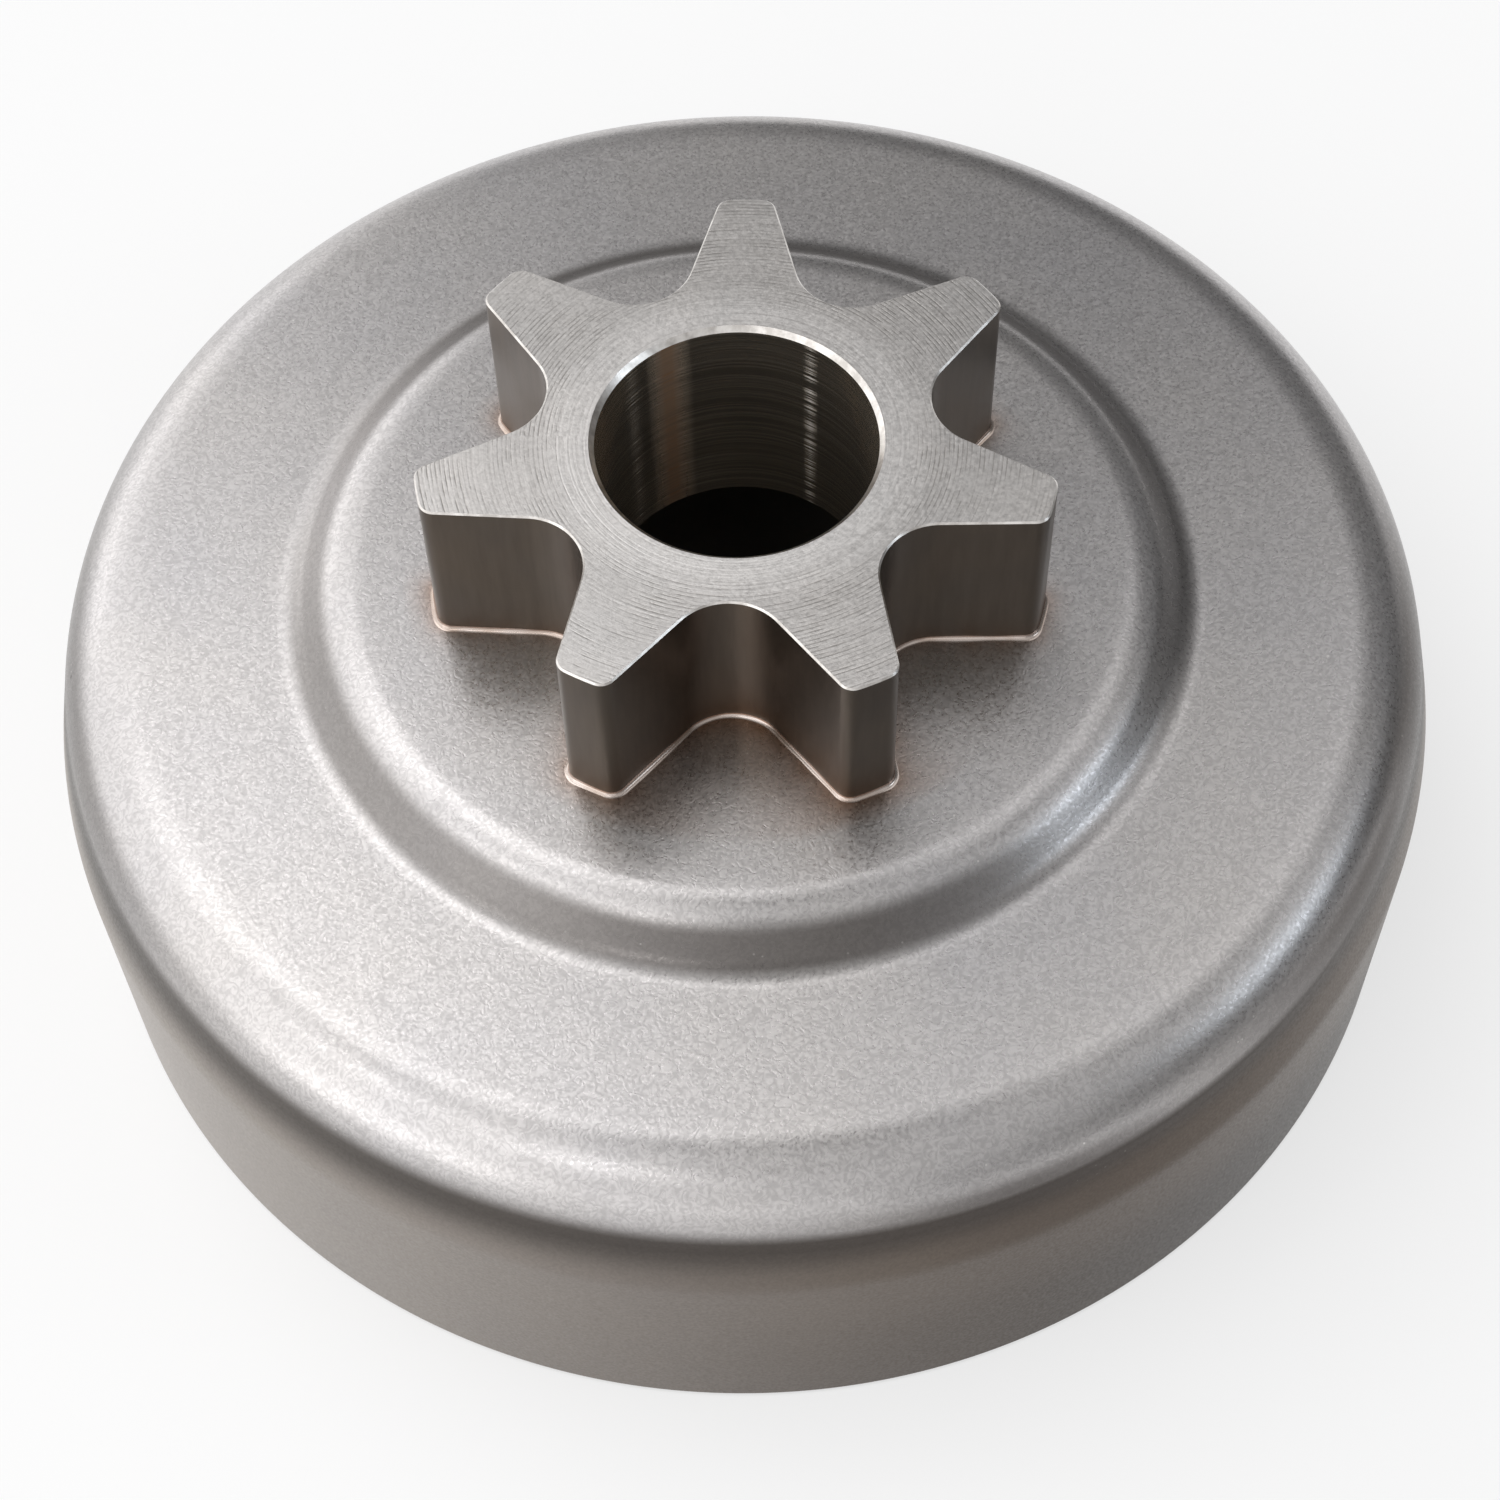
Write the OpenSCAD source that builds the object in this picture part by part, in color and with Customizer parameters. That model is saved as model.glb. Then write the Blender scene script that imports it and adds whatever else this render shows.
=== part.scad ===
// Clutch drum of a chainsaw with a spur sprocket brazed to its top.
// Millimetres. The drum stands on its open rim: the origin is the centre of the rim,
// and +Z is the common axis, out of the sprocket's face. One tooth points along +Y.

/* [Drum] */
// Outside diameter of the drum's wall
drum_d = 83.8; // [78:0.2:92]
// Height of the drum's flat top above the rim
drum_h = 23.7; // [20:0.1:32]
// Thickness of the sheet steel that the drum is drawn from
sheet_t = 2.3; // [1.6:0.1:2.8]
// Outside radius of the bend between the flat top and the wall
shoulder_r = 5.1; // [4:0.1:6]
// Angle that this bend turns through, short of a right angle
shoulder_turn = 77; // [70:0.5:85]
// Length of the straight slope between the bend and the crease over the wall
shoulder_slope = 4.2; // [2:0.1:5]
// Chamfer on both edges of the rim
rim_chamfer = 0.3; // [0.1:0.1:0.6]

/* [Raised centre] */
// Height of the raised centre above the drum's flat top
step_h = 2.4; // [1.8:0.1:3.6]
// Radius at which the raised centre and its slope would meet in a sharp corner
step_r = 24; // [23.5:0.1:25]
// Slope of the step, down from level
step_angle = 42; // [35:1:50]
// Outside radius of the step's upper bend
step_top_r = 3.8; // [2.8:0.1:4.2]
// Outside radius of the step's lower bend
step_foot_r = 2.6; // [1:0.1:3]

/* [Sprocket] */
// Number of teeth
teeth = 7; // [6:1:8]
// Diameter over the tooth tips
tip_d = 36.2; // [34:0.1:38]
// Diameter at the bottom of the tooth gaps
root_d = 22.5; // [22:0.1:24]
// Height of the teeth above the raised centre
tooth_h = 11; // [7:0.1:14]
// Width of a tooth between its flanks, measured at the tip diameter
tooth_tip_w = 3.1; // [2.4:0.1:3.6]
// Angle between a flank and the middle of its tooth
flank_angle = 14.8; // [12:0.2:18]
// Radius of the two rounded corners of a tooth tip
tip_corner_r = 0.9; // [0.4:0.1:1]

/* [Bearing bore] */
// Diameter of the bore, the outer race of a needle cage
bore_d = 16; // [12:0.1:17]
// Width of the chamfer at both ends of the bore
bore_chamfer = 0.45; // [0.2:0.05:0.8]
// Diameter of the spigot that passes through the drum
spigot_d = 20.8; // [19.5:0.1:21.5]
// Length that the spigot stands out inside the drum
spigot_out = 1.7; // [0.5:0.1:4]
// Chamfer on the spigot's end
spigot_chamfer = 0.4; // [0.2:0.1:0.8]
// Radial gap between the spigot and its hole in the drum, as brazing needs
spigot_gap = 0.05; // [0.02:0.01:0.1]

/* [Braze] */
// Width of the copper bead on the drum
braze_w = 0.45; // [0.2:0.05:0.8]
// Height of the copper bead up the teeth
braze_h = 0.4; // [0.2:0.05:0.8]

/* [Hidden] */
$fn = 128;
// Largest angle between neighbouring points of a bend in the sheet
bend_step = 9;
// Number of steps round a tooth gap, round a tip corner and across the bead
gap_steps = 12;
corner_steps = 4;
bead_steps = 3;
// Length by which a cutting shape runs past what it cuts
past = 1;

// Heights above the rim
plate_h = drum_h + step_h;
face_h = plate_h + tooth_h;
spigot_h = plate_h - sheet_t - spigot_out;

// Sharp corners of the drum's outer skin, as [radius, height]
step_foot = [step_r + step_h / tan(step_angle), drum_h];
slope_w = shoulder_r * tan(shoulder_turn / 2) + shoulder_slope;
crease = [drum_d / 2, drum_h - slope_w * sin(shoulder_turn)];
shoulder = [drum_d / 2 - slope_w * cos(shoulder_turn), drum_h];

// How far a corner of the inner skin lies inside the outer one, along the sheet
step_in = sheet_t * tan(step_angle / 2);
shoulder_in = sheet_t * tan(shoulder_turn / 2);
crease_in = sheet_t * tan((90 - shoulder_turn) / 2);
// Radius left inside a bend that is tighter than the sheet is thick
least_inside_r = 0.4;

// Tooth gap: its round bottom touches both flanks. flank_reach is a flank's distance
// from the axis, and flank_turn its angle from the middle of the gap.
half_pitch = 180 / teeth;
flank_reach = tooth_tip_w / 2 * cos(flank_angle) + tip_d / 2 * sin(flank_angle);
flank_turn = half_pitch + flank_angle;
gap_centre = (root_d / 2 - flank_reach) / (1 - sin(flank_turn));
gap_r = gap_centre - root_d / 2;
// Tip corner: its centre, by distance from the axis and angle from the tooth's middle
corner_centre = tip_d / 2 - tip_corner_r;
corner_turn = asin((flank_reach - tip_corner_r) / corner_centre) - flank_angle;

// Points of an arc from angle a to angle b
function arc(centre, r, a, b, steps) =
    [for (i = [0:steps]) let (t = a + (b - a) * i / steps) centre + r * [cos(t), sin(t)]];

function polar(r, a) = r * [cos(a), sin(a)];

// Signed turn from angle a to angle b, by the short way round
function short_turn(a, b) = (b - a + 540) % 360 - 180;

// Points of the round of radius r that replaces the corner q between p and s
function bend(p, q, s, r) = r <= 0 ? [q] :
    let (
        u = (p - q) / norm(p - q),
        v = (s - q) / norm(s - q),
        half = acos(u * v) / 2,
        centre = q + (u + v) / norm(u + v) * r / sin(half),
        start = q + u * r / tan(half) - centre,
        end = q + v * r / tan(half) - centre,
        a = atan2(start.y, start.x),
        turn = short_turn(a, atan2(end.y, end.x))
    )
    arc(centre, r, a, a + turn, max(1, ceil(abs(turn) / bend_step)));

// Closed outline from sharp corners, each given as [point, radius]
function rounded(corners) =
    let (n = len(corners))
    [for (i = [0:n - 1])
        each bend(corners[(i + n - 1) % n][0], corners[i][0], corners[(i + 1) % n][0], corners[i][1])];

// Section of the drum's sheet: outer skin from the centre to the rim, inner skin back
function drum_section() =
    let (hole = spigot_d / 2 + spigot_gap, wall = drum_d / 2, inner = drum_d / 2 - sheet_t)
    rounded([
        [[hole, plate_h], 0],
        [[step_r, plate_h], step_top_r],
        [step_foot, step_foot_r],
        [shoulder, shoulder_r],
        [crease, 0],
        [[wall, rim_chamfer], 0],
        [[wall - rim_chamfer, 0], 0],
        [[inner + rim_chamfer, 0], 0],
        [[inner, rim_chamfer], 0],
        [[inner, crease.y - crease_in], 0],
        [shoulder - [shoulder_in, sheet_t], max(least_inside_r, shoulder_r - sheet_t)],
        [step_foot - [step_in, sheet_t], step_foot_r + sheet_t],
        [[step_r - step_in, plate_h - sheet_t], max(least_inside_r, step_top_r - sheet_t)],
        [[hole, plate_h - sheet_t], 0]
    ]);

function rotated(points, a) =
    [for (p = points) [p.x * cos(a) - p.y * sin(a), p.x * sin(a) + p.y * cos(a)]];

// One tooth along +X with the gap that follows it, moved outwards by grow
function tooth(grow) = concat(
    arc(polar(corner_centre, -corner_turn), tip_corner_r + grow, flank_angle - 90, -corner_turn, corner_steps),
    [polar(tip_d / 2 + grow, 0)],
    arc(polar(corner_centre, corner_turn), tip_corner_r + grow, corner_turn, 90 - flank_angle, corner_steps),
    rotated(arc([gap_centre, 0], gap_r - grow, 270 - flank_turn, 90 + flank_turn, gap_steps), half_pitch)
);

// Outline of the whole sprocket, with the first tooth along +Y
function sprocket_outline(grow = 0) =
    [for (k = [0:teeth - 1]) each rotated(tooth(grow), 90 + 2 * half_pitch * k)];

// Deep-drawn steel cup with a raised centre and a hole for the sprocket's spigot
module drum_cup() {
    color("silver")
        rotate_extrude()
            polygon(drum_section());
}

// Bore with a chamfer at both ends, as a cutting shape
module bearing_bore() {
    translate([0, 0, spigot_h - past])
        cylinder(h = face_h - spigot_h + 2 * past, d = bore_d);
    translate([0, 0, face_h - bore_chamfer])
        cylinder(h = bore_chamfer + past, d1 = bore_d, d2 = bore_d + 2 * (bore_chamfer + past));
    translate([0, 0, spigot_h - past])
        cylinder(h = bore_chamfer + past, d1 = bore_d + 2 * (bore_chamfer + past), d2 = bore_d);
}

// Spigot below the teeth, with its chamfered end
module spigot() {
    rotate_extrude()
        polygon([
            [0, spigot_h],
            [spigot_d / 2 - spigot_chamfer, spigot_h],
            [spigot_d / 2, spigot_h + spigot_chamfer],
            [spigot_d / 2, plate_h + tooth_h / 2],
            [0, plate_h + tooth_h / 2]
        ]);
}

// Spur sprocket, turned and cut in one piece with its spigot
module spur_sprocket() {
    color("dimgray")
        difference() {
            union() {
                translate([0, 0, plate_h])
                    linear_extrude(tooth_h)
                        polygon(sprocket_outline());
                spigot();
            }
            bearing_bore();
        }
}

// Copper bead in the corner between the teeth and the drum: rings of points that
// follow the sprocket's outline, up a hollow quarter round and back down the flanks
module braze_fillet() {
    levels = [
        for (i = [0:bead_steps])
            let (t = 90 * i / bead_steps)
            [braze_w * (1 - sin(t)), plate_h + braze_h * (1 - cos(t))],
        [0, plate_h]
    ];
    rings = [for (l = levels) [for (p = sprocket_outline(l.x)) [p.x, p.y, l.y]]];
    n = len(rings[0]);
    m = len(rings);
    color("peru")
        polyhedron(
            points = [for (ring = rings) each ring],
            faces = [
                for (j = [0:m - 1], i = [0:n - 1])
                    let (a = j * n, b = (j + 1) % m * n, next = (i + 1) % n)
                    each [[a + i, b + i, b + next], [a + i, b + next, a + next]]
            ]
        );
}

drum_cup();
spur_sprocket();
braze_fillet();
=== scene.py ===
import math
from functools import partial

import bpy
from mathutils import Matrix, Vector, noise


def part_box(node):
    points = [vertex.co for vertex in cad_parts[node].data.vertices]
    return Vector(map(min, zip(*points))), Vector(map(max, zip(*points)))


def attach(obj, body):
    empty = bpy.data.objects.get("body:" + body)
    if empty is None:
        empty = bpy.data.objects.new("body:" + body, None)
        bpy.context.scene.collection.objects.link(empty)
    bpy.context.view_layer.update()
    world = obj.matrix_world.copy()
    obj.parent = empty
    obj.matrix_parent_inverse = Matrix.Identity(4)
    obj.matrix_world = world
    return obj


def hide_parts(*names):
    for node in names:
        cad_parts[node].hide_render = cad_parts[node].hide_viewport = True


bl_info = {
    "name": "Clutch drum with spur sprocket",
    "version": (1, 0, 0),
    "blender": (4, 5, 0),
    "location": "View3D > Sidebar > Drum",
    "description": "Drawn steel clutch drum, brazed spur sprocket and a plain studio",
    "category": "Object",
}

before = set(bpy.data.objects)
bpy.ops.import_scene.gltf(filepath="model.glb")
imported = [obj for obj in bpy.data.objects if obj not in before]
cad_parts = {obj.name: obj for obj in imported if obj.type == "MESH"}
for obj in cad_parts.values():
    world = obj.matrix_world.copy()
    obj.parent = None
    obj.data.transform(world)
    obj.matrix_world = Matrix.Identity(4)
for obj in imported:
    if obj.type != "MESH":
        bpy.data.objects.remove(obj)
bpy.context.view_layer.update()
BODY = "root"
MM = 0.001

# Heights above the rim that several pieces share, in millimetres, and the number of teeth
SPROCKET_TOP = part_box("spur_sprocket")[1].z / MM
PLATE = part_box("braze_fillet")[0].z / MM
TEETH = 7


def linear(hex_colour):
    """Turns an sRGB hex colour into the linear red, green and blue that Blender uses."""
    parts = [int(hex_colour[i:i + 2], 16) / 255 for i in (1, 3, 5)]
    return tuple(p / 12.92 if p <= 0.04045 else ((p + 0.055) / 1.055) ** 2.4 for p in parts)


def length(name, description, millimetres, lowest=0.0):
    return bpy.props.FloatProperty(
        name=name, description=description, default=millimetres * MM, min=lowest * MM,
        precision=5, unit="LENGTH", subtype="DISTANCE")


def angle(name, description, degrees):
    return bpy.props.FloatProperty(
        name=name, description=description, default=math.radians(degrees),
        unit="ROTATION", subtype="ANGLE")


def colour(name, description, hex_colour):
    return bpy.props.FloatVectorProperty(
        name=name, description=description, default=linear(hex_colour),
        size=3, min=0.0, max=1.0, subtype="COLOR")


def share(name, description, value):
    return bpy.props.FloatProperty(
        name=name, description=description, default=value, min=0.0, max=1.0, subtype="FACTOR")


def number(name, description, value):
    return bpy.props.FloatProperty(name=name, description=description, default=value, min=0.0)


class DrumSettings(bpy.types.PropertyGroup):
    """Sizes and finish of the drawn steel cup"""
    diameter: length("Diameter", "Outside diameter of the drum's wall", 83.8)
    top: length("Top height", "Height of the flat top above the rim", 23.7)
    sheet: length("Sheet", "Thickness of the sheet steel", 2.3)
    shoulder_radius: length("Shoulder radius", "Outside radius of the bend over the wall", 5.1)
    shoulder_turn: angle("Shoulder turn", "Angle that the bend over the wall turns through", 77)
    shoulder_slope: length("Shoulder slope", "Straight slope between the bend and the crease", 4.2)
    crease_radius: length("Crease radius", "Outside radius of the crease over the wall", 5.0)
    rim_chamfer: length("Rim chamfer", "Chamfer on both edges of the rim", 0.3)
    step_radius: length("Step radius", "Where the raised centre and its slope would meet", 24)
    step_angle: angle("Step angle", "Slope of the step, down from level", 42)
    step_top_radius: length("Step upper bend", "Outside radius of the step's upper bend", 3.8)
    step_foot_radius: length("Step lower bend", "Outside radius of the step's lower bend", 2.6)
    hole: length("Hole", "Diameter of the hole for the spigot", 20.9)
    steel: colour("Tumbled steel", "Colour of the tumbled top", "#cdcaca")
    # The wall's two colours below are a pale lit copy on the left and a dark shaded copy on the
    # front right: painted light and painted shade, with a warmer tint on the front right too
    wall_steel: colour("Wall steel", "Colour of the ironed wall where the heat tinted it", "#5d534b")
    lit_wall_steel: colour("Cool steel", "Colour of the ironed wall where it stayed pale", "#b8b1ab")
    # The dark bands' colour is partly painted shade
    band_and_shade_steel: colour("Band steel", "Colour of the bands that the draw ring rubbed", "#46403c")
    haze: colour("Copper haze", "Colour of the copper that crept out over the steel", "#ad8b74")
    roughness: share("Roughness", "Roughness of the tumbled top", 0.32)
    wall_roughness: share("Wall roughness", "Roughness of the ironed wall", 0.4)
    grain: length("Grain", "Spacing of the marks of the tumbling stones", 0.2)


class SprocketSettings(bpy.types.PropertyGroup):
    """Sizes and finish of the spur sprocket"""
    tip_diameter: length("Tip diameter", "Diameter over the tooth tips", 36.2)
    root_diameter: length("Root diameter", "Diameter at the bottom of the tooth gaps", 22.5)
    tip_width: length("Tip width", "Width of a tooth at its tip", 3.1)
    flank_angle: angle("Flank angle", "Angle between a flank and the middle of its tooth", 14.8)
    tip_radius: length("Tip corner radius", "Radius of the two corners of a tooth tip", 0.9)
    feed: length("Feed", "Pitch of the turning marks on the face", 0.25)
    edge: length("Edge", "Width of the broken edge round the face", 0.1)
    bore: length("Bore", "Diameter of the bearing bore", 16)
    bore_chamfer: length("Bore chamfer", "Chamfer at both ends of the bore", 0.3)
    spigot: length("Spigot", "Diameter of the spigot through the drum", 20.8)
    spigot_chamfer: length("Spigot chamfer", "Chamfer on the spigot's end", 0.4)
    face_steel: colour("Face steel", "Colour of the turned face", "#eae7e5")
    flank_steel: colour("Flank steel", "Colour of the hardened flanks", "#615950")
    bore_steel: colour("Bore steel", "Colour of the honed bore", "#e2d9ca")
    face_roughness: share("Face roughness", "Roughness of the turned face", 0.33)
    flank_roughness: share("Flank roughness", "Roughness of the flanks", 0.33)
    bore_roughness: share("Bore roughness", "Roughness of the bore", 0.15)


class BrazeSettings(bpy.types.PropertyGroup):
    """Size and finish of the copper bead"""
    width: length("Width", "Width of the bead on the drum", 0.24)
    height: length("Height", "Height of the bead up the teeth", 0.24)
    copper: colour("Copper", "Colour of the furnace-brazed copper", "#cdc1ba")
    roughness: share("Roughness", "Roughness of the copper", 0.22)


class StageSettings(bpy.types.PropertyGroup):
    """Floor, lamps and camera"""
    floor: colour("Floor", "Colour of the floor", "#fcfcfc")
    focal: bpy.props.FloatProperty(
        name="Focal length", description="Focal length for a 36 mm wide sensor, in millimetres",
        default=70.75, min=1.0, subtype="DISTANCE_CAMERA")
    tilt: angle("Tilt", "Angle that the camera looks down from level", 57.31)
    roll: angle("Roll", "Turn of the camera about its own axis", -1.53)
    turn: angle("Turn", "Turn of the camera about the drum's axis", 3.03)
    distance: length("Distance", "From the camera to the face's centre, along the view", 164.6)
    side: length("Side shift", "Sideways place of the camera", 0.28)
    fall: length("Down shift", "How far the camera is moved down in its own picture", 17.41)
    white: share("White", "Share of the floor's white that comes from the floor itself", 0.62)
    room: number("Room", "Strength of the even light all round", 0.1)
    room_left: number("Room, left", "Strength added towards the left, where the windows are", 1.32)
    room_front: number("Room, front", "Strength added towards the front", 0.38)
    room_above: number("Room, above", "Strength added overhead", 0.18)
    light: number("Light", "Strength of all lamps together", 1.0)


def settings(name):
    return getattr(bpy.context.scene, "drum_" + name)


# Outlines, all in millimetres

def arc(centre, radius, start, end, steps):
    return [(centre[0] + radius * math.cos(start + (end - start) * i / steps),
             centre[1] + radius * math.sin(start + (end - start) * i / steps))
            for i in range(steps + 1)]


def bend(before, corner, after, radius, step=math.radians(4)):
    """Points of the round of this radius that replaces a sharp corner."""
    if radius <= 0:
        return [corner]
    p, q, s = Vector(before), Vector(corner), Vector(after)
    u, v = (p - q).normalized(), (s - q).normalized()
    half = u.angle(v) / 2
    centre = q + (u + v).normalized() * radius / math.sin(half)
    start = q + u * radius / math.tan(half) - centre
    end = q + v * radius / math.tan(half) - centre
    first = math.atan2(start.y, start.x)
    turn = (math.atan2(end.y, end.x) - first + math.pi) % (2 * math.pi) - math.pi
    return arc(centre, radius, first, first + turn, max(1, math.ceil(abs(turn) / step)))


def rounded(corners):
    """Closed outline from sharp corners, each a point with its radius."""
    outline = []
    for i, (corner, radius) in enumerate(corners):
        outline += bend(corners[i - 1][0], corner, corners[(i + 1) % len(corners)][0], radius)
    return outline


def refined(outline, longest):
    """Closed outline with no straight piece longer than this."""
    points = []
    for a, b in zip(outline, outline[1:] + outline[:1]):
        steps = max(1, math.ceil(math.dist(a, b) / longest))
        points += [(a[0] + (b[0] - a[0]) * i / steps, a[1] + (b[1] - a[1]) * i / steps)
                   for i in range(steps)]
    return points


def tooth(s, grow):
    """One tooth along +X with the gap that follows it, moved outwards by grow."""
    tip, root = s.tip_diameter / MM / 2, s.root_diameter / MM / 2
    flank, corner = s.flank_angle, s.tip_radius / MM
    half_pitch = math.pi / TEETH
    reach = s.tip_width / MM / 2 * math.cos(flank) + tip * math.sin(flank)
    turn = half_pitch + flank
    gap_centre = (root - reach) / (1 - math.sin(turn))
    gap = gap_centre - root - grow
    centre = tip - corner
    lean = math.asin((reach - corner) / centre) - flank
    at = (centre * math.cos(lean), centre * math.sin(lean))
    corner_steps, crest_steps, gap_steps, flank_steps = 7, 3, 28, 8
    upper = arc(at, corner + grow, lean, math.pi / 2 - flank, corner_steps)
    lower = [(x, -y) for x, y in reversed(upper)]
    crest = [((tip + grow) * math.cos(a), (tip + grow) * math.sin(a))
             for a in (lean * k / crest_steps for k in range(1 - crest_steps, crest_steps))]
    bottom = arc((gap_centre, 0), gap, 1.5 * math.pi - turn, math.pi / 2 + turn, gap_steps)
    bottom = turned(bottom, half_pitch)
    side = [tuple(Vector(upper[-1]).lerp(Vector(bottom[0]), k / flank_steps))
            for k in range(1, flank_steps)]
    other = turned([(x, -y) for x, y in reversed(side)], 2 * half_pitch)
    return lower + crest + upper + side + bottom + other


def turned(points, a):
    return [(x * math.cos(a) - y * math.sin(a), x * math.sin(a) + y * math.cos(a))
            for x, y in points]


def sprocket_outline(grow=0.0):
    """Outline of the whole sprocket, with the first tooth along +Y, moved outwards by grow."""
    s = settings("sprocket")
    one = tooth(s, grow)
    return [p for k in range(TEETH) for p in turned(one, math.pi / 2 + 2 * math.pi / TEETH * k)]


# Meshes

def skin(name, rings):
    """Closed mesh through rings of equally many points, given in millimetres. The last ring
    joins the first."""
    count = len(rings[0])
    verts = [tuple(c * MM for c in p) for ring in rings for p in ring]
    faces = []
    for j in range(len(rings)):
        a, b = j * count, (j + 1) % len(rings) * count
        faces += [(a + i, a + (i + 1) % count, b + (i + 1) % count, b + i) for i in range(count)]
    mesh = bpy.data.meshes.new(name)
    mesh.from_pydata(verts, [], faces)
    mesh.validate()
    mesh.shade_smooth()
    piece = bpy.data.objects.new(name, mesh)
    bpy.context.scene.collection.objects.link(piece)
    return piece


def mark(piece, name, values):
    """Stores one number per point for the piece's material."""
    attribute = piece.data.attributes.new(name, "FLOAT", "POINT")
    attribute.data.foreach_set("value", values)


def keep_edges(piece, degrees=28):
    piece.data.set_sharp_from_angle(angle=math.radians(degrees))


def seat(piece, node):
    """Fixes a piece to the part's body and puts it in the place of its plain solid."""
    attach(piece, BODY)
    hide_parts(node)


def ramp(value, low, high):
    """Smooth rise from 0 at low to 1 at high."""
    t = min(1.0, max(0.0, (value - low) / (high - low)))
    return t * t * (3 - 2 * t)


def lobe(turn, heading, width):
    """Soft hump from 0 to 1 round one heading, with the heading and width in degrees."""
    off = (math.degrees(turn) - heading + 180) % 360 - 180
    return math.exp(-(off / width) ** 2)


# Materials

def add_node(tree, kind, inputs=(), out=None, **options):
    """Adds one node, sets its options, and fills its inputs with values or other nodes' outputs.
    They are given by name, or in the order of those in use. Returns an output, if it has any."""
    node = tree.nodes.new("ShaderNode" + kind)
    for option, value in options.items():
        setattr(node, option, value)
    in_use = [socket for socket in node.inputs if socket.enabled]
    for key, value in inputs.items() if isinstance(inputs, dict) else enumerate(inputs):
        socket = node.inputs[key] if isinstance(key, str) else in_use[key]
        if isinstance(value, bpy.types.NodeSocket):
            tree.links.new(value, socket)
        else:
            socket.default_value = (*value, 1.0) if socket.type == "RGBA" else value
    return node.outputs[out] if out else next((s for s in node.outputs if s.enabled), None)


def new_material(name):
    """Empty material, the function that adds nodes to it, and the piece's own coordinates."""
    material = bpy.data.materials.new(name)
    material.use_nodes = True
    material.node_tree.nodes.clear()
    add = partial(add_node, material.node_tree)
    return material, add, add("TexCoord", out="Object")


def finish(add, steel, rough, height=None, depth_mm=0.0, metallic=1.0):
    """Ends a metal with its colour, its roughness and a pattern whose dents are this deep."""
    inputs = {"Base Color": steel, "Metallic": metallic, "Roughness": rough}
    if height is not None:
        inputs["Normal"] = add("Bump", {
            "Height": height, "Distance": depth_mm * MM, "Strength": 1.0})
    add("OutputMaterial", (add("BsdfPrincipled", inputs),))


def times(add, *values):
    """Product of two or more values."""
    product = values[0]
    for value in values[1:]:
        product = add("Math", (product, value), operation="MULTIPLY")
    return product


def shaded(add, steel, pattern, dark, light):
    """Colour times a tint that a pattern takes from dark to light."""
    tint = add("Mix", (pattern, dark, light), data_type="RGBA")
    return add("Mix", (1.0, steel, tint), data_type="RGBA", blend_type="MULTIPLY")


def uneven(add, middle, pattern, swing):
    """Value that swings up and down by this much with a noise."""
    off = add("MapRange", (pattern, 0.3, 0.7, -swing, swing))
    return add("Math", (middle, off), operation="ADD", use_clamp=True)


def speckle(add, place, size_mm, detail=2.0, rough=0.5, distortion=0.0):
    """Noise from 0 to 1 whose blots are about this many millimetres across."""
    return add("TexNoise", {
        "Vector": place, "Scale": 0.6 / (size_mm * MM), "Detail": detail, "Roughness": rough,
        "Distortion": distortion})


def spots(add, place, apart_mm, full, gone):
    """Round spots about this far apart, which fade out between these two shares of that length."""
    away = add("TexVoronoi", {"Vector": place, "Scale": 1 / (apart_mm * MM)}, feature="F1")
    return add("MapRange", (away, full, gone, 1.0, 0.0))


def strokes(add, place, size_mm):
    """Worm-like marks from 0 to 1, about this far apart: contour lines of two smooth noises."""
    # Angle that a whole noise is spread over, and the value that both sines together seldom pass
    bends, reach = 20.0, 1.3
    total = 0.0
    for drift in (0.0, 0.7):
        at = add("Mapping", {"Vector": place, "Location": (drift, 0.3, 0.2)})
        hills = times(add, speckle(add, at, size_mm * 1.5, 0.0, 0.5, 0.5), bends)
        total = add("Math", (add("Math", (hills,), operation="SINE"), total), operation="ADD")
    return add("MapRange", (total, -reach, reach))


def polar_place(add, place, along_mm, across_mm):
    """Distance from the axis, turn round it, and coordinates that stretch a pattern along circles.
    The length along a circle holds at a radius of 12 mm."""
    typical_radius = 12.0
    x, y, z = add("SeparateXYZ", (place,)).node.outputs
    square = add("Math", (times(add, x, x), times(add, y, y)), operation="ADD")
    radius = add("Math", (square,), operation="SQRT")
    turn = add("Math", (y, x), operation="ARCTAN2")
    return radius, turn, add("CombineXYZ", (
        times(add, radius, 1 / (across_mm * MM)),
        times(add, turn, typical_radius / along_mm),
        times(add, z, 1 / (across_mm * MM))))


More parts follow.
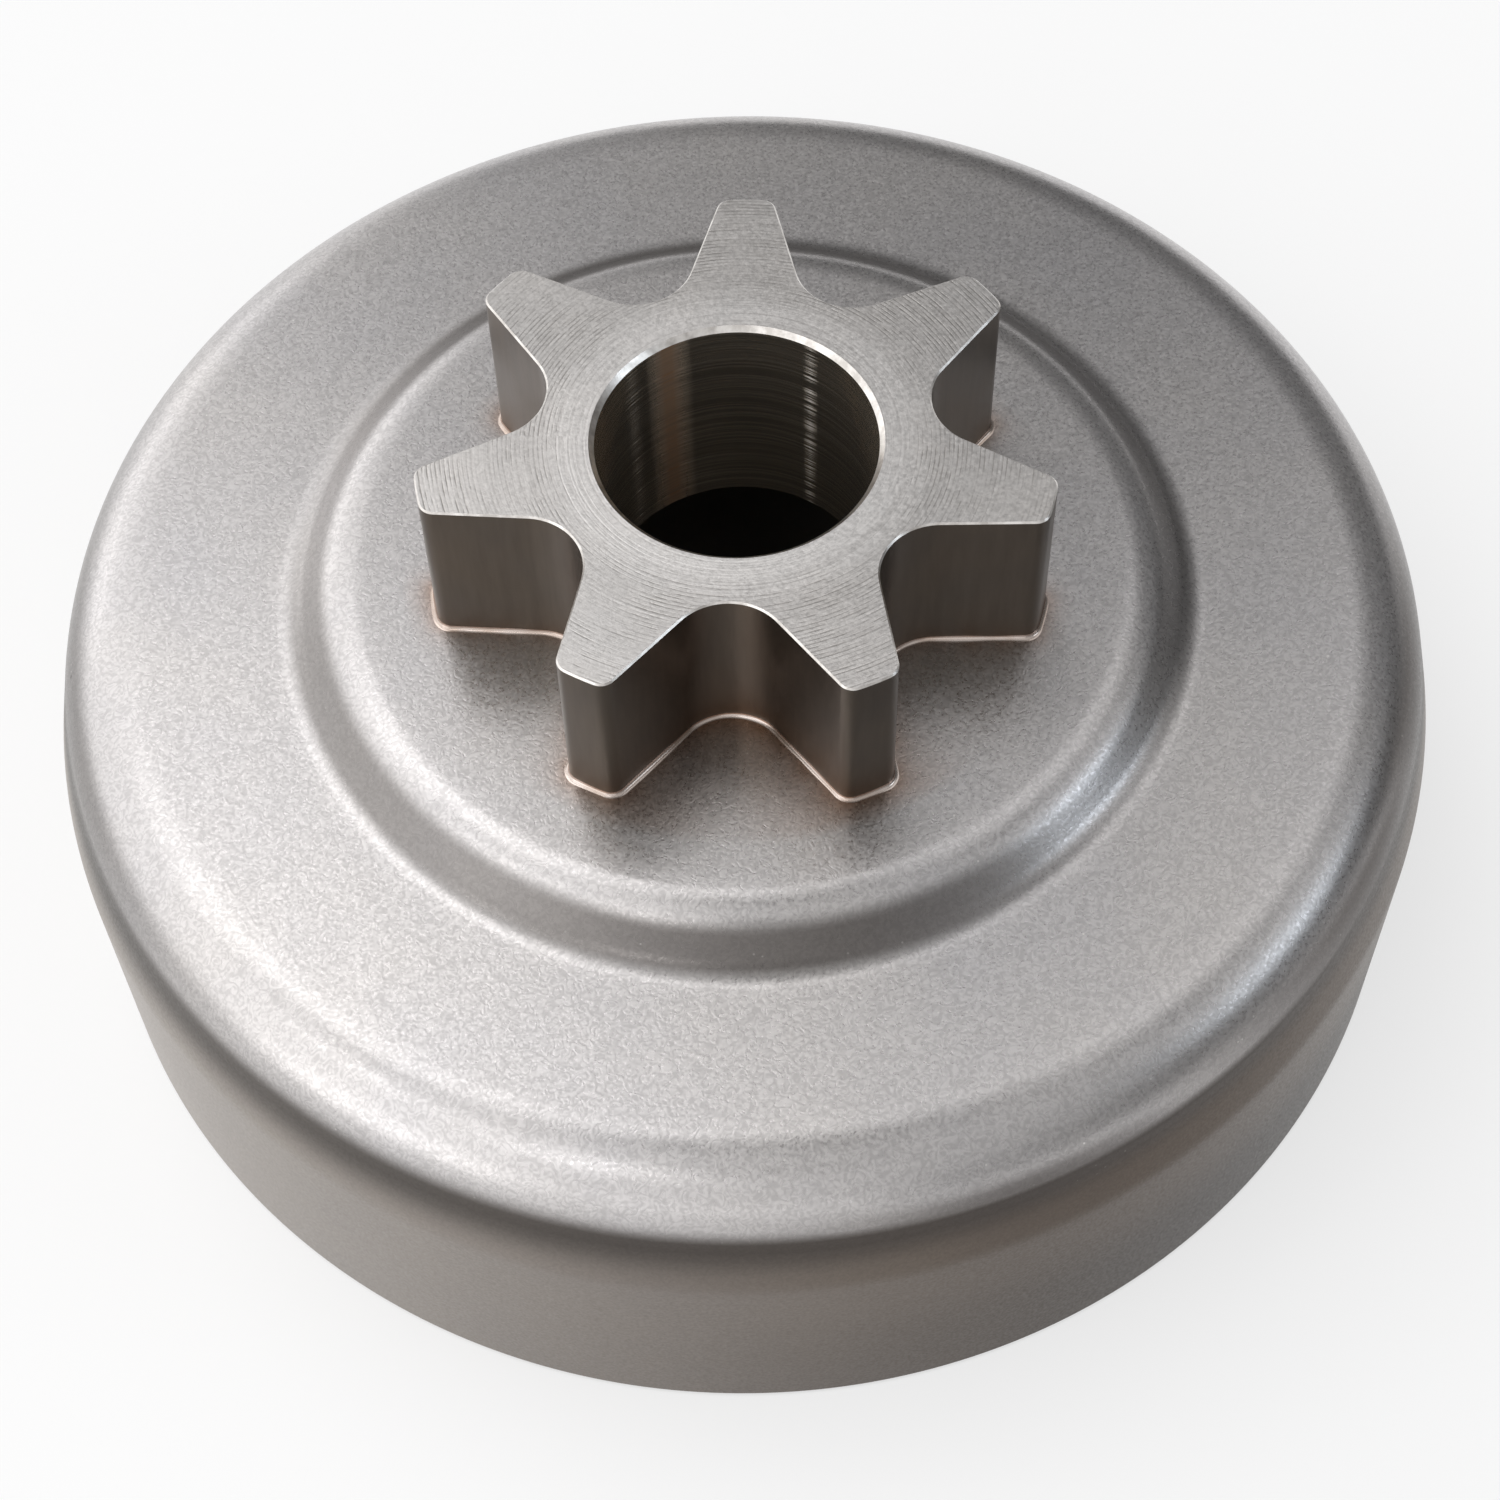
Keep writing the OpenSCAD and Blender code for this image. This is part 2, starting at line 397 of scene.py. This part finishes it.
def tumbled_steel(s):
    """Deep-drawn steel, vibratory tumbled with stones: a satin grey with short worm-like dents.
    The wall was ironed by the die, so it is smoother, and the brazing furnace left it browner.
    Its colour also holds painted light and shade: a pale left side and a dark front right on the
    wall, dark bands over the shoulder and the step that are partly painted shade, and near-white
    dots of painted glint."""
    material, add, place = new_material("tumbled_drawn_steel")
    wall, band_and_shade, haze, warmth_and_painted_side_light = (add("Attribute", out="Fac", attribute_name=zone) for zone in ZONES)
    lit_band_steel, pit, sparkle_white = linear("#67625e"), linear("#4a4541"), linear("#fbf8f4")
    # The stones' real marks, about 0.15 mm apart, would be lost between the pixels of a picture,
    # so the grain is drawn coarser than they are
    worms = strokes(add, place, s.grain / MM)
    grit = speckle(add, place, 0.11, 1.0)
    # The marks are weaker on the wall and on the dark bands
    smoothed = add("Math", (wall, band_and_shade), operation="MAXIMUM")
    calm = add("MapRange", (smoothed, 0.0, 1.0, 1.0, 0.4))
    marks = add("Math", (worms, 0.5), operation="SUBTRACT")
    marks = add("Math", (marks, calm, 0.5), operation="MULTIPLY_ADD")
    # Painted light and shade: the wall is pale on the left side and dark and warmer on the front
    # right
    wall_steel = add("Mix", (warmth_and_painted_side_light, s.lit_wall_steel, s.wall_steel), data_type="RGBA")
    # The dark bands take the same side mix, and their darkness is partly painted shade
    band_and_shade_steel = add("Mix", (warmth_and_painted_side_light, lit_band_steel, s.band_and_shade_steel), data_type="RGBA")
    steel = add("Mix", (wall, s.steel, wall_steel), data_type="RGBA")
    steel = add("Mix", (band_and_shade, steel, band_and_shade_steel), data_type="RGBA")
    steel = add("Mix", (haze, steel, s.haze), data_type="RGBA")
    steel = shaded(add, steel, marks, (0.83, 0.83, 0.83), (1.03, 1.03, 1.03))
    # Large faint stains that the rinsing water left
    cloud = add("MapRange", (speckle(add, place, 9.0, 3.0, 0.55), 0.3, 0.7))
    steel = shaded(add, steel, cloud, (0.96, 0.96, 0.965), (1.03, 1.02, 1.0))
    # A few dark pits, and in patches painted glints: near-white dots that stand for sparkles of
    # light
    steel = add("Mix", (spots(add, place, 17, 0.006, 0.012), steel, pit), data_type="RGBA")
    patches = add("MapRange", (speckle(add, place, 0.9, 1.0), 0.52, 0.62, 0.0, 0.5))
    on_top = add("MapRange", (calm, 0.4, 0.8))
    painted_sparkles = times(add, spots(add, place, 0.8, 0.05, 0.1), patches, on_top)
    steel = add("Mix", (painted_sparkles, steel, sparkle_white), data_type="RGBA")
    smooth = add("MapRange", (wall, 0.0, 1.0, s.roughness, s.wall_roughness))
    height = add("Math", (times(add, worms, 0.2), times(add, grit, 0.3)), operation="ADD")
    finish(add, steel, uneven(add, smooth, grit, 0.06), times(add, height, calm), 0.012)
    return material


def turned_face(s):
    """Steel faced on a lathe: a light grey with fine rings round the bore that catch the light."""
    material, add, place = new_material("turned_steel_face")
    # The tool's scratches, finer in fact than the 0.14 mm that a picture can show
    radius, _, along_rings = polar_place(add, place, 26.0, 0.14)
    scratches = add("TexNoise", {
        "Vector": along_rings, "Scale": 1.0, "Detail": 2.0, "Roughness": 0.6})
    near_bore = add("MapRange", (radius, 9.5 * MM, 11.5 * MM, 0.8, 0.4))
    # Grooves at the tool's feed, a little out of round, broken into dashes and into patches, and
    # none of them next to the bore
    wander = times(add, speckle(add, place, 7.0, 1.0), 9.0)
    phase = add("Math", (times(add, radius, 2 * math.pi / s.feed), wander), operation="ADD")
    groove = add("MapRange", (add("Math", (phase,), operation="SINE"), 0.1, 0.9))
    dash_place = polar_place(add, place, 0.9, 0.2)[2]
    dash = add("TexNoise", {"Vector": dash_place, "Scale": 1.0, "Detail": 1.0})
    dash = add("MapRange", (dash, 0.4, 0.6, 0.15, 1.0))
    patch = add("MapRange", (speckle(add, place, 3.5, 2.0, 0.6), 0.42, 0.6, 0.1, 1.0))
    away = add("MapRange", (radius, 9.0 * MM, 11.0 * MM))
    groove = times(add, groove, dash, patch, away)
    scratches = times(add, scratches, near_bore)
    rings = add("Math", (scratches, times(add, groove, 0.5)), operation="SUBTRACT")
    rings = add("Math", (strokes(add, place, 0.2), 0.1, rings), operation="MULTIPLY_ADD")
    grit = speckle(add, place, 0.12, 1.0)
    tone = add("MapRange", (rings, -0.1, 0.5))
    steel = shaded(add, s.face_steel, tone, (0.6, 0.59, 0.58), (1.12, 1.12, 1.12))
    cloud = add("MapRange", (speckle(add, place, 5.0), 0.3, 0.7))
    steel = shaded(add, steel, cloud, (0.95, 0.95, 0.95), (1.03, 1.02, 1.01))
    height = add("Math", (times(add, rings, 0.75), times(add, grit, 0.25)), operation="ADD")
    finish(add, steel, uneven(add, s.face_roughness, grit, 0.05), height, 0.012)
    return material


def hardened_flank(s):
    """Case-hardened steel as cut: smooth and dark, a warm gunmetal brown with upright streaks."""
    material, add, place = new_material("hardened_steel_flank")
    upright = add("Mapping", {"Vector": place, "Scale": (1.0, 1.0, 0.12)})
    streak = speckle(add, upright, 0.35, 2.0, 0.6)
    cloud = speckle(add, place, 3.0)
    tone, stain = (add("MapRange", (pattern, 0.3, 0.7)) for pattern in (streak, cloud))
    steel = shaded(add, s.flank_steel, tone, (0.92, 0.92, 0.92), (1.06, 1.06, 1.06))
    steel = shaded(add, steel, stain, (0.92, 0.93, 0.95), (1.04, 1.02, 1.0))
    finish(add, steel, uneven(add, s.flank_roughness, cloud, 0.04), streak, 0.006)
    return material


def honed_bore(s):
    """Steel honed for needle rollers: a dark mirror with fine rings, and painted reflections on
    given
    sides: a brown stripe and two light stripes, one faint."""
    material, add, place = new_material("honed_steel_bore")
    # Hone marks are a few hundredths of a millimetre apart, so they are drawn coarser to show
    _, turn, along_rings = polar_place(add, place, 30.0, 0.16)
    rings = add("TexNoise", {"Vector": along_rings, "Scale": 1.0, "Detail": 2.0, "Roughness": 0.6})

    def stripe(heading, half_width, fading):
        off = add("Math", (turn, math.radians(heading)), operation="SUBTRACT")
        off = add("Math", (off,), operation="ABSOLUTE")
        ends = math.radians(half_width), math.radians(half_width + fading)
        return add("MapRange", (off, *ends, 1.0, 0.0))

    scratch = add("MapRange", (rings, 0.42, 0.62))
    # Painted reflection: a brown stripe on one side of the bore
    stain = times(add, stripe(122, 2, 9), add("MapRange", (rings, 0.3, 0.7, 0.6, 1.0)))
    # Painted reflections: two light stripes, one faint
    faint = times(add, stripe(141, 0.5, 6), 0.4)
    painted_streaks = times(add, add("Math", (stripe(60, 0.3, 4), faint), operation="MAXIMUM"), scratch)
    steel = shaded(add, s.bore_steel, scratch, (0.8, 0.77, 0.74), (1.26, 1.22, 1.18))
    steel = add("Mix", (stain, steel, linear("#9c7a60")), data_type="RGBA")
    steel = add("Mix", (painted_streaks, steel, linear("#f2efec")), data_type="RGBA")
    # The metal share drops a little everywhere and more under the painted stripes, so their colour
    # shows
    film = add("Math", (stain, 0.5, 0.06), operation="MULTIPLY_ADD")
    film = add("Math", (film, times(add, painted_streaks, 0.8)), operation="MAXIMUM")
    bare = add("Math", (1.0, film), operation="SUBTRACT")
    finish(add, steel, s.bore_roughness, rings, 0.03, metallic=bare)
    return material


def bright_edge():
    """Freshly broken edge of the same steel: bare metal, so brighter than what lies beside it."""
    material, add, place = new_material("bare_steel_edge")
    nick = add("MapRange", (speckle(add, place, 0.5, 3.0, 0.6), 0.35, 0.65))
    steel = add("Mix", (nick, linear("#c4bfba"), linear("#f0ece8")), data_type="RGBA")
    finish(add, steel, 0.3)
    return material


def braze_copper(s):
    """Copper that ran round the joint in the furnace: a rosy, glossy bead with a duller skin."""
    material, add, place = new_material("furnace_braze_copper")
    cloud = add("MapRange", (speckle(add, place, 1.2), 0.35, 0.65))
    finish(add, add("Mix", (cloud, s.copper, linear("#b5a397")), data_type="RGBA"), s.roughness)
    return material


# Pieces

def drum_section(s):
    """Section of the cup's sheet: outer skin from the hole to the rim, then the inner skin back."""
    sheet, top, chamfer = s.sheet / MM, s.top / MM, s.rim_chamfer / MM
    wall = s.diameter / MM / 2
    inner = wall - sheet
    hole = s.hole / MM / 2
    step_r, step_top = s.step_radius / MM, s.step_top_radius / MM
    step_foot = s.step_foot_radius / MM
    shoulder_r, turn = s.shoulder_radius / MM, s.shoulder_turn
    slope = shoulder_r * math.tan(turn / 2) + s.shoulder_slope / MM
    foot = Vector((step_r + (PLATE - top) / math.tan(s.step_angle), top))
    crease = Vector((wall, top - slope * math.sin(turn)))
    shoulder = Vector((wall - slope * math.cos(turn), top))
    step_in = sheet * math.tan(s.step_angle / 2)
    shoulder_in = sheet * math.tan(turn / 2)
    crease_in = sheet * math.tan((math.pi / 2 - turn) / 2)
    # Radius left inside a bend that is tighter than the sheet is thick
    least = 0.4
    return rounded([
        ((hole, PLATE), 0),
        ((step_r, PLATE), step_top),
        (tuple(foot), step_foot),
        (tuple(shoulder), shoulder_r),
        (tuple(crease), s.crease_radius / MM),
        ((wall, chamfer), 0),
        ((wall - chamfer, 0.0), 0),
        ((inner + chamfer, 0.0), 0),
        ((inner, chamfer), 0),
        ((inner, crease.y - crease_in), 0),
        ((shoulder.x - shoulder_in, top - sheet), max(least, shoulder_r - sheet)),
        ((foot.x - step_in, top - sheet), step_foot + sheet),
        ((step_r - step_in, PLATE - sheet), max(least, step_top - sheet)),
        ((hole, PLATE - sheet), 0),
    ])


# Zones of the cup's finish, each kept as a number from 0 to 1 for every point: the ironed wall,
# the dark bands that the draw ring scuffed, which on some sides and at the front right foot are
# painted shade, the copper haze, which on the front side also holds painted shade, and the side
# mix of the wall's colour: a warmer tint, with painted light on the left and painted shade on the
# front right
ZONES = ("wall", "band_and_shade", "haze", "warmth_and_painted_side_light")
# Points round the cup, and the longest step along its section, in millimetres
CUP_POINTS = 336
CUP_STEP = 0.9
# Where the dark bands over the wall start and are full, as depths below the flat top, in
# millimetres. On some sides they start sooner, which is painted shade: strength, heading and width
# in degrees, and the two depths
BAND = (2.5, 4.1)
PAINTED_SHADE_SIDES = [
    (0.6, 192, 30, 0.9, 2.0),
    (0.9, 352, 24, 0.3, 1.6),
    (0.85, 335, 31, 0.9, 2.4),
    (0.8, 294, 20, 1.8, 3.2),
    (0.35, 315, 18, 0.2, 0.9),
]
# Strength of the dark ring on the slope of the raised centre, partly painted shade, and by how
# much some sides differ from it in painted shade: difference, heading and width in degrees
SLOPE_BAND = 0.66
SLOPE_PAINTED_SHADE_SIDES = [(-0.3, 45, 40), (-0.3, 168, 22), (-0.5, 325, 19), (0.2, 115, 24), (0.14, 275, 32)]
# Farthest from the axis that the copper haze reaches, in millimetres
HAZE_REACH = 19.5


def rubbed_and_painted_shade(turn, r, z, top):
    """How dark the outer skin is, from 0 to 1: the draw ring's rubbing, with painted shade on some
    sides, at the front right foot and on the step's slope.
    """
    depth = top - z
    shoulder = ramp(depth, *BAND)
    # Painted shade: on these sides the dark bands reach higher and are darker
    for strength, heading, width, start, full in PAINTED_SHADE_SIDES:
        shoulder = max(shoulder, strength * lobe(turn, heading, width) * ramp(depth, start, full))
    # The dark ring fades out down the wall, sooner at the front right, whose foot gets painted shade
    front_right = lobe(turn, 318, 40)
    shoulder *= 1 - ramp(depth, 4.6 - 0.6 * front_right, 8.0 - 1.8 * front_right)
    # Painted shade at the front right foot, darker towards the floor
    foot = lobe(turn, 320, 34) * ramp(14 - z, 0, 9)
    slope = 0.0
    # Painted shade, partly: the step's slope is darkened by different amounts on different sides
    if z > top - 0.5:
        slope = SLOPE_BAND
        for difference, heading, width in SLOPE_PAINTED_SHADE_SIDES:
            slope += difference * lobe(turn, heading, width)
        slope *= ramp(r, 24.1, 25.1) * (1 - ramp(r, 26.4, 27.4))
    return max(shoulder, foot, slope)


def copper_haze_and_shade(turn, x, y, outline):
    """How much copper crept out over the steel, by the distance from the teeth's outline. On the
    front side it is heavier: painted shade in the gaps between the front teeth.
    """
    gap = min(math.hypot(x - a, y - b) for a, b in outline)
    patch = max(0.0, noise.noise(Vector((x * 0.16, y * 0.16, 3.7))))
    rim = 0.5 * math.exp(-max(0.0, gap - 0.3) / 0.55)
    clouds = 0.6 * patch * math.exp(-gap / 2.2)
    # Painted shade: more of the haze's brown on the front side, in the front tooth gaps
    front = 0.6 * lobe(turn, 275, 26) * math.exp(-max(0.0, gap - 0.6) / 2.6)
    return min(1.0, rim + clouds + front)


class MakeDrum(bpy.types.Operator):
    """Makes the drawn steel cup in the place of its plain solid"""
    bl_idname = "drum.make_cup"
    bl_label = "Drum cup"

    def execute(self, context):
        s = settings("drum")
        section = refined(drum_section(s), CUP_STEP)
        outline = sprocket_outline()[::3]
        top = s.top / MM
        # The section's outer skin comes first, and ends where it reaches the floor
        rim = next(i for i, (r, z) in enumerate(section) if z < 0.01)
        rings, zones = [], {zone: [] for zone in ZONES}
        for place, (r, z) in enumerate(section):
            outer = place < rim
            hazy = outer and r < HAZE_REACH and z > top
            ring = []
            for i in reversed(range(CUP_POINTS)):
                turn = 2 * math.pi * i / CUP_POINTS
                x, y = r * math.cos(turn), r * math.sin(turn)
                ring.append((x, y, z))
                zones["wall"].append(ramp(top - z, 3.2, 5.0) if outer else 0.4)
                # Dark bands, partly painted shade
                zones["band_and_shade"].append(rubbed_and_painted_shade(turn, r, z, top) if outer else 0.0)
                zones["haze"].append(copper_haze_and_shade(turn, x, y, outline) if hazy else 0.0)
                # Painted light and shade by side, with a warmer tint: pale on the left, dark on the
                # front right
                zones["warmth_and_painted_side_light"].append(lobe(turn, 305, 66))
            rings.append(ring)
        cup = skin("drum_cup_drawn", rings)
        for zone, values in zones.items():
            mark(cup, zone, values)
        cup.data.materials.append(tumbled_steel(s))
        keep_edges(cup)
        seat(cup, "drum_cup")
        return {"FINISHED"}


class MakeSprocket(bpy.types.Operator):
    """Makes the spur sprocket in the place of its plain solid"""
    bl_idname = "drum.make_sprocket"
    bl_label = "Spur sprocket"

    def execute(self, context):
        s = settings("sprocket")
        edge, chamfer, spigot_chamfer = s.edge / MM, s.bore_chamfer / MM, s.spigot_chamfer / MM
        bore, spigot = s.bore / MM / 2, s.spigot / MM / 2
        spigot_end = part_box("spur_sprocket")[0].z / MM
        top = SPROCKET_TOP
        bore_low, bore_high = spigot_end + chamfer, top - chamfer
        flank_steps, face_steps, bore_steps = 6, 6, 10
        outline, inset = sprocket_outline(), sprocket_outline(-edge)
        headings = [math.atan2(y, x) for x, y in inset]

        def level(points, z):
            return [(x, y, z) for x, y in points]

        def circle(r, z):
            return [(r * math.cos(a), r * math.sin(a), z) for a in headings]

        def between(first, second, t):
            return [tuple(Vector(p).lerp(Vector(q), t)) for p, q in zip(first, second)]

        face_out, face_in = level(inset, top), circle(bore + chamfer, top)
        # Rings up the flanks, over the face, down the bore and round the spigot. Each comes with
        # the finish of the strip that leads to it.
        rings = [(level(outline, PLATE), "flank")]
        rings += [(level(outline, PLATE + (top - edge - PLATE) * k / flank_steps), "flank")
                  for k in range(1, flank_steps + 1)]
        rings += [(face_out, "edge")]
        rings += [(between(face_out, face_in, k / face_steps), "face")
                  for k in range(1, face_steps + 1)]
        rings += [(circle(bore, bore_high), "edge")]
        rings += [(circle(bore, bore_high + (bore_low - bore_high) * k / bore_steps), "bore")
                  for k in range(1, bore_steps + 1)]
        rings += [(circle(bore + chamfer, spigot_end), "edge"),
                  (circle(spigot - spigot_chamfer, spigot_end), "face"),
                  (circle(spigot, spigot_end + spigot_chamfer), "edge"),
                  (circle(spigot, PLATE), "flank")]
        sprocket = skin("spur_sprocket_cut", [ring for ring, _ in rings])
        finishes = {"face": turned_face(s), "flank": hardened_flank(s), "bore": honed_bore(s),
                    "edge": bright_edge()}
        for material in finishes.values():
            sprocket.data.materials.append(material)
        names = list(finishes)
        kinds = []
        for j in range(len(rings)):
            kinds += [names.index(rings[(j + 1) % len(rings)][1])] * len(outline)
        sprocket.data.polygons.foreach_set("material_index", kinds)
        keep_edges(sprocket)
        seat(sprocket, "spur_sprocket")
        return {"FINISHED"}


class MakeBraze(bpy.types.Operator):
    """Makes the copper bead round the foot of the teeth in the place of its plain solid"""
    bl_idname = "drum.make_braze"
    bl_label = "Copper bead"

    def execute(self, context):
        s = settings("braze")
        steps = 6
        base = sprocket_outline()
        unit = sprocket_outline(1.0)
        rings = []
        for k in range(steps + 1):
            t = math.pi / 2 * k / steps
            ring = []
            for (x, y), (u, v) in zip(base, unit):
                swell = 1 + 0.3 * noise.noise(Vector((x * 0.5, y * 0.5, 1.3)))
                out = s.width / MM * (1 - math.sin(t)) * swell
                up = s.height / MM * (1 - math.cos(t)) * swell
                ring.append((x + (u - x) * out, y + (v - y) * out, PLATE + up))
            rings.append(ring)
        rings.append([(x, y, PLATE) for x, y in base])
        bead = skin("braze_bead_copper", rings)
        bead.data.materials.append(braze_copper(s))
        keep_edges(bead, 50)
        seat(bead, "braze_fillet")
        return {"FINISHED"}


# Stage

# Soft boxes round the drum: name, degrees round from +X, degrees up from level,
# width and height in metres, strength where 1 is white, and tint
LAMP_AIM = Vector((0, 0, 0.03))
LAMP_REACH = 0.55
LAMPS = [
    ("low_back_left_softbox", 135, 12, (0.36, 0.2), 0.62, "#ffffff"),
    ("low_front_left_softbox", 225, 12, (0.36, 0.2), 0.8, "#ffffff"),
    ("low_front_softbox", 270, 12, (0.36, 0.2), 0.5, "#ffffff"),
    ("back_left_softbox", 135, 38, (0.32, 0.26), 0.38, "#ffffff"),
    ("left_softbox", 180, 38, (0.32, 0.26), 0.18, "#ffffff"),
    ("front_left_softbox", 225, 38, (0.32, 0.26), 0.25, "#ffffff"),
    ("front_softbox", 270, 38, (0.32, 0.26), 0.3, "#ffffff"),
    ("front_right_softbox", 315, 38, (0.32, 0.26), 0.17, "#ffffff"),
    ("right_softbox", 0, 38, (0.32, 0.26), 0.5, "#ffffff"),
    ("overhead_back_left_softbox", 135, 66, (0.28, 0.28), 1.5, "#ffffff"),
    ("overhead_front_left_softbox", 225, 66, (0.28, 0.28), 0.43, "#ffffff"),
    ("overhead_front_right_softbox", 315, 66, (0.28, 0.28), 0.25, "#ffffff"),
    ("overhead_back_right_softbox", 45, 62, (0.28, 0.28), 0.7, "#ffffff"),
    ("left_key", 165, 50, (0.1, 0.1), 1.3, "#ffffff"),
    ("front_left_key", 205, 50, (0.1, 0.1), 1.6, "#ffffff"),
    ("front_key", 247, 50, (0.12, 0.1), 2.2, "#ffffff"),
    ("right_window_softbox", 351, 28, (0.22, 0.12), 2.3, "#dfecf8"),
]


def soft_box(name, turn, rise, size, glow, tint):
    """Rectangular soft box whose face shines at this strength, where 1 is white."""
    a, e = math.radians(turn), math.radians(rise)
    towards = Vector((math.cos(e) * math.cos(a), math.cos(e) * math.sin(a), math.sin(e)))
    lamp = bpy.data.lights.new(name, "AREA")
    lamp.shape = "RECTANGLE"
    lamp.size, lamp.size_y = size
    lamp.energy = glow * math.pi * size[0] * size[1]
    lamp.color = linear(tint)
    box = bpy.data.objects.new(name, lamp)
    box.location = LAMP_AIM + LAMP_REACH * towards
    box.rotation_euler = (-towards).to_track_quat("-Z", "Y").to_euler()
    box.visible_camera = False
    bpy.context.scene.collection.objects.link(box)


def paper_floor(s):
    """Matt white paper that also glows white for the camera and in the metal. Under the drum it
    is a dark grey, which is painted shade, so that the bore looks into an unlit inside."""
    material, add, place = new_material("pale_paper_floor")
    seen = add("LightPath").node.outputs
    rays = add("Math", (seen["Is Camera Ray"], seen["Is Glossy Ray"]), operation="ADD")
    rays = add("Math", (rays, seen["Is Transmission Ray"]), operation="ADD", use_clamp=True)
    away = add("VectorMath", (place,), operation="LENGTH")
    outside = add("MapRange", (away, 41.0 * MM, 42.0 * MM))
    # Painted shade: dark grey under the drum
    paper = add("Mix", (outside, linear("#6b6864"), s.floor), data_type="RGBA")
    paper = add("BsdfPrincipled", {
        "Base Color": paper, "Metallic": 0.0, "Roughness": 0.9, "Specular IOR Level": 0.2})
    glow = add("Emission", {"Strength": 1.0})
    glowing = times(add, rays, times(add, outside, s.white))
    add("OutputMaterial", (add("MixShader", (glowing, paper, glow)),))
    return material


class MakeStage(bpy.types.Operator):
    """Makes the floor, the soft boxes, the world and the camera"""
    bl_idname = "drum.make_stage"
    bl_label = "Stage"

    def execute(self, context):
        s = settings("stage")
        self.lay_floor(s)
        for name, turn, rise, size, glow, tint in LAMPS:
            soft_box(name, turn, rise, size, glow * s.light, tint)
        self.light_room(s)
        self.place_camera(s)
        context.scene.view_settings.view_transform = "Standard"
        return {"FINISHED"}

    def lay_floor(self, s):
        """Square sheet just below the rim. It is 16 metres wide, so that no edge of it shows."""
        reach, drop = 8.0, 0.02 * MM
        mesh = bpy.data.meshes.new("studio_floor")
        corners = [(-reach, -reach), (reach, -reach), (reach, reach), (-reach, reach)]
        mesh.from_pydata([(x, y, -drop) for x, y in corners], [], [(0, 1, 2, 3)])
        mesh.materials.append(paper_floor(s))
        floor = bpy.data.objects.new("studio_floor", mesh)
        bpy.context.scene.collection.objects.link(floor)

    def light_room(self, s):
        """Even light all round, with more of it from the left, the front and above."""
        world = bpy.data.worlds.new("studio_world")
        bpy.context.scene.world = world
        world.use_nodes = True
        add = partial(add_node, world.node_tree)
        heading = add("TexCoord", out="Generated")
        total = s.room
        for towards, strength in (
                ((-1, 0, 0), s.room_left), ((0, -1, 0), s.room_front), ((0, 0, 1), s.room_above)):
            side = add("VectorMath", (heading, towards), operation="DOT_PRODUCT")
            lit = add("Math", (side, 0.0), operation="MAXIMUM")
            total = add("Math", (lit, strength, total), operation="MULTIPLY_ADD")
        background = world.node_tree.nodes["Background"]
        background.inputs["Color"].default_value = (1.0, 1.0, 1.0, 1.0)
        world.node_tree.links.new(total, background.inputs["Strength"])

    def place_camera(self, s):
        """Camera at the photograph's angle, from its tilt, roll, turn and distance."""
        camera = bpy.data.cameras.new("camera")
        camera.lens, camera.sensor_width = s.focal, 36.0
        camera.clip_start, camera.clip_end = 0.01, 20.0
        holder = bpy.data.objects.new("camera", camera)
        bpy.context.scene.collection.objects.link(holder)
        e, r = s.tilt, s.roll
        forward = Vector((0, math.cos(e), -math.sin(e)))
        level_up, level_right = Vector((0, math.sin(e), math.cos(e))), Vector((1, 0, 0))
        right = math.cos(r) * level_right + math.sin(r) * level_up
        up = math.cos(r) * level_up - math.sin(r) * level_right
        place = -s.distance * forward + s.side * level_right - s.fall * level_up
        place.z += SPROCKET_TOP * MM
        pose = Matrix((right, up, -forward)).transposed().to_4x4()
        pose.translation = place
        holder.matrix_world = Matrix.Rotation(s.turn, 4, "Z") @ pose
        bpy.context.scene.camera = holder


# Each name's settings and the operator that makes it, in the order of the work
PIECES = {
    "stage": (StageSettings, MakeStage),
    "drum": (DrumSettings, MakeDrum),
    "sprocket": (SprocketSettings, MakeSprocket),
    "braze": (BrazeSettings, MakeBraze),
}


class DrumPanel(bpy.types.Panel):
    """Lists the pieces of the drum and what can be changed on them"""
    bl_idname = "VIEW3D_PT_clutch_drum"
    bl_label = "Clutch drum"
    bl_space_type = "VIEW_3D"
    bl_region_type = "UI"
    bl_category = "Drum"

    def draw(self, context):
        for name, (_, operator) in PIECES.items():
            box = self.layout.box()
            box.operator(operator.bl_idname)
            group = settings(name)
            for key in group.__annotations__:
                box.prop(group, key)


CLASSES = [item for pair in PIECES.values() for item in pair] + [DrumPanel]


def register():
    for item in CLASSES:
        bpy.utils.register_class(item)
    for name, (group, _) in PIECES.items():
        setattr(bpy.types.Scene, "drum_" + name, bpy.props.PointerProperty(type=group))


def unregister():
    for name in PIECES:
        delattr(bpy.types.Scene, "drum_" + name)
    for item in reversed(CLASSES):
        bpy.utils.unregister_class(item)


def main():
    register()
    for _, operator in PIECES.values():
        family, call = operator.bl_idname.split(".")
        getattr(getattr(bpy.ops, family), call)()


if __name__ == "__main__":
    main()
